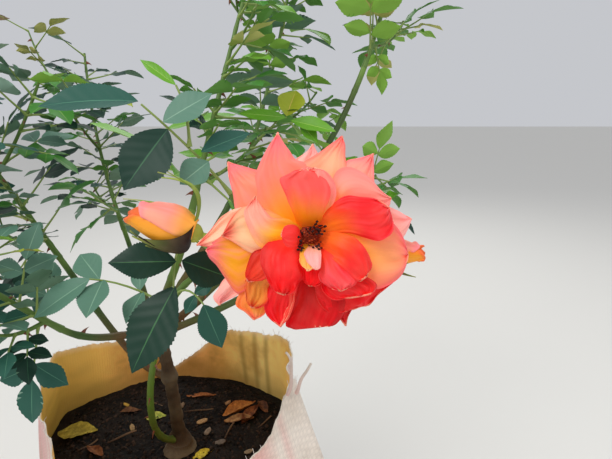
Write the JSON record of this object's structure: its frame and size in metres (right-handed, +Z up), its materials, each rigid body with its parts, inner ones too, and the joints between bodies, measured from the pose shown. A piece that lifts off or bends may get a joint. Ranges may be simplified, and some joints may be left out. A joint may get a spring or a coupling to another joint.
{
  "type": "rose bush in a grow bag",
  "caption": "Garden rose bush with an open bloom, buds and compound leaves on arching canes, growing in soil in an open woven grow bag that stands on its flat underside.",
  "frame": {"origin": "middle of the flat underside of the bag", "axes": "+Z up, -Y towards the side that the open bloom faces, +X to the right as seen from there"},
  "size_m": [0.5124, 0.4457, 0.8523],
  "materials": {
    "woven_bag": "faded woven plastic cloth, pinkish beige outside and tan inside, frayed at the rim",
    "soil": "moist dark potting soil with dry leaf litter",
    "bark": "brown ridged bark",
    "green_cane": "green smooth bark flushed with brown, with prickles",
    "leaves": "thin leathery leaves, dark to bluish green, young ones bright green",
    "petals": "soft velvety petals, yellow at the root, coral pink to red",
    "bud_petals": "soft petals, salmon pink over yellow orange, with green sepals"
  },
  "bodies": {
    "root": {"grow_bag": "woven_bag", "soil": "soil", "trunk": "bark", "cane_front": "green_cane", "cane_middle": "green_cane", "cane_right": "green_cane", "cane_right_low": "green_cane", "cane_back": "green_cane", "cane_back_left": "green_cane", "cane_left": "green_cane", "cane_front_left": "green_cane", "leaves_front": "leaves", "leaves_middle": "leaves", "leaves_right": "leaves", "leaves_back": "leaves", "leaves_back_left": "leaves", "leaves_left": "leaves", "leaves_front_left": "leaves", "leaves_right_low": "leaves", "bloom": "petals", "bud_left": "bud_petals", "bud_right": "bud_petals"}
  },
  "joints": []
}
